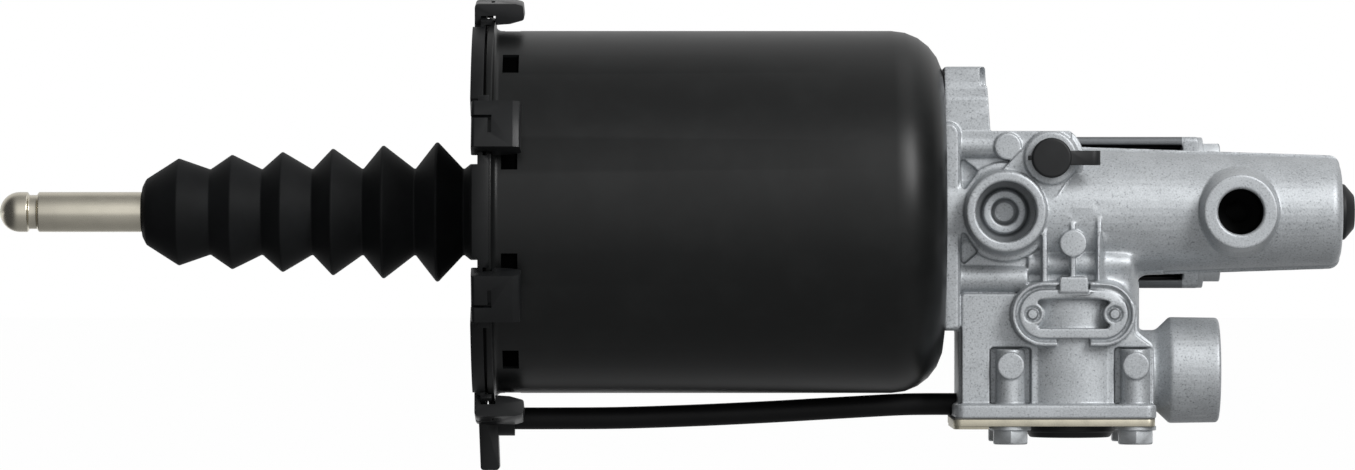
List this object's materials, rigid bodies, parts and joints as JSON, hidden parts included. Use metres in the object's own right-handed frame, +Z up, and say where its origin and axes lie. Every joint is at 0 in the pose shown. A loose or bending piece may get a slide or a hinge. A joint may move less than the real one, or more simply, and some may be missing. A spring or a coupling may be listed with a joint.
{
  "type": "clutch servo",
  "caption": "Air-assisted clutch servo: black cylinder can with a bellowed push rod at one end and a die-cast hydraulic barrel, relay valve block and ports at the other.",
  "frame": {"origin": "midway between the two mounting bolts, on the face of the casting that they clamp to the vehicle", "axes": "+X along the push rod from its ball tip towards the barrel, +Z up, +Y from the ports to the mounting arm"},
  "size_m": [0.4061, 0.1358, 0.1411],
  "materials": {
    "nickel_steel": "ground and nickel plated, satin",
    "piston_aluminium": "turned",
    "guide_plastic": "plain",
    "seal_rubber": "matte",
    "ground_steel": "ground",
    "spring_steel": "oiled",
    "bellows_rubber": "matte",
    "can_paint": "semi-gloss black coating",
    "cover_plastic": "fine moulded grain",
    "clip_steel": "black coated spring steel",
    "hose_rubber": "satin",
    "brass": "plain",
    "cast_aluminium": "die-cast, blasted",
    "plug_rubber": "satin",
    "zinc_steel": "clear zinc plated",
    "gasket_fibre": "compressed fibre",
    "yellow_zinc": "zinc plated, faint yellow tint"
  },
  "bodies": {
    "housing": {"return_spring": "spring_steel", "bellows": "bellows_rubber", "cylinder_can": "can_paint", "end_cover": "cover_plastic", "cover_clips": "clip_steel", "breather_hose": "hose_rubber", "hose_spigot": "brass", "rod_bush": "guide_plastic", "housing_casting": "cast_aluminium", "barrel_end_plug": "plug_rubber", "bleed_screw": "zinc_steel", "bleed_dust_cap": "plug_rubber", "valve_cover_gasket": "gasket_fibre", "valve_cover_plate": "yellow_zinc", "valve_cover_bolts": "zinc_steel", "valve_cover_washers": "zinc_steel", "exhaust_dome": "plug_rubber", "mounting_bolts": "zinc_steel", "mounting_washers": "zinc_steel", "can_gasket": "gasket_fibre", "can_screws": "zinc_steel", "plunger_cup_seal": "seal_rubber", "plunger_guide_bush": "guide_plastic", "gland_circlip": "spring_steel", "relay_spring": "spring_steel", "valve_insert": "piston_aluminium", "valve_spring": "spring_steel", "valve_guide": "guide_plastic", "valve_circlip": "spring_steel"},
    "rod": {"push_rod": "nickel_steel", "air_piston": "piston_aluminium", "piston_guide_ring": "guide_plastic", "piston_lip_seal": "seal_rubber", "hydraulic_plunger": "ground_steel"},
    "relay": {"relay_piston": "piston_aluminium", "relay_piston_seal": "seal_rubber"},
    "inlet": {"inlet_valve": "seal_rubber"}
  },
  "joints": [
    {"name": "rod_travel", "type": "slide", "parent": "housing", "child": "rod", "axis": [1, 0, 0], "range_m": [0, 0.06], "stiffness_N_per_m": 900, "springref_m": -0.06, "deforming": ["bellows", "return_spring"]},
    {"name": "relay_travel", "type": "slide", "parent": "housing", "child": "relay", "axis": [0, 0, -1], "range_m": [0, 0.0011], "stiffness_N_per_m": 2000, "springref_m": -0.004, "deforming": ["relay_spring"]},
    {"name": "inlet_travel", "type": "slide", "parent": "housing", "child": "inlet", "axis": [0, 0, -1], "range_m": [0, 0.0015], "stiffness_N_per_m": 2000, "springref_m": -0.004, "deforming": ["valve_spring"]}
  ]
}
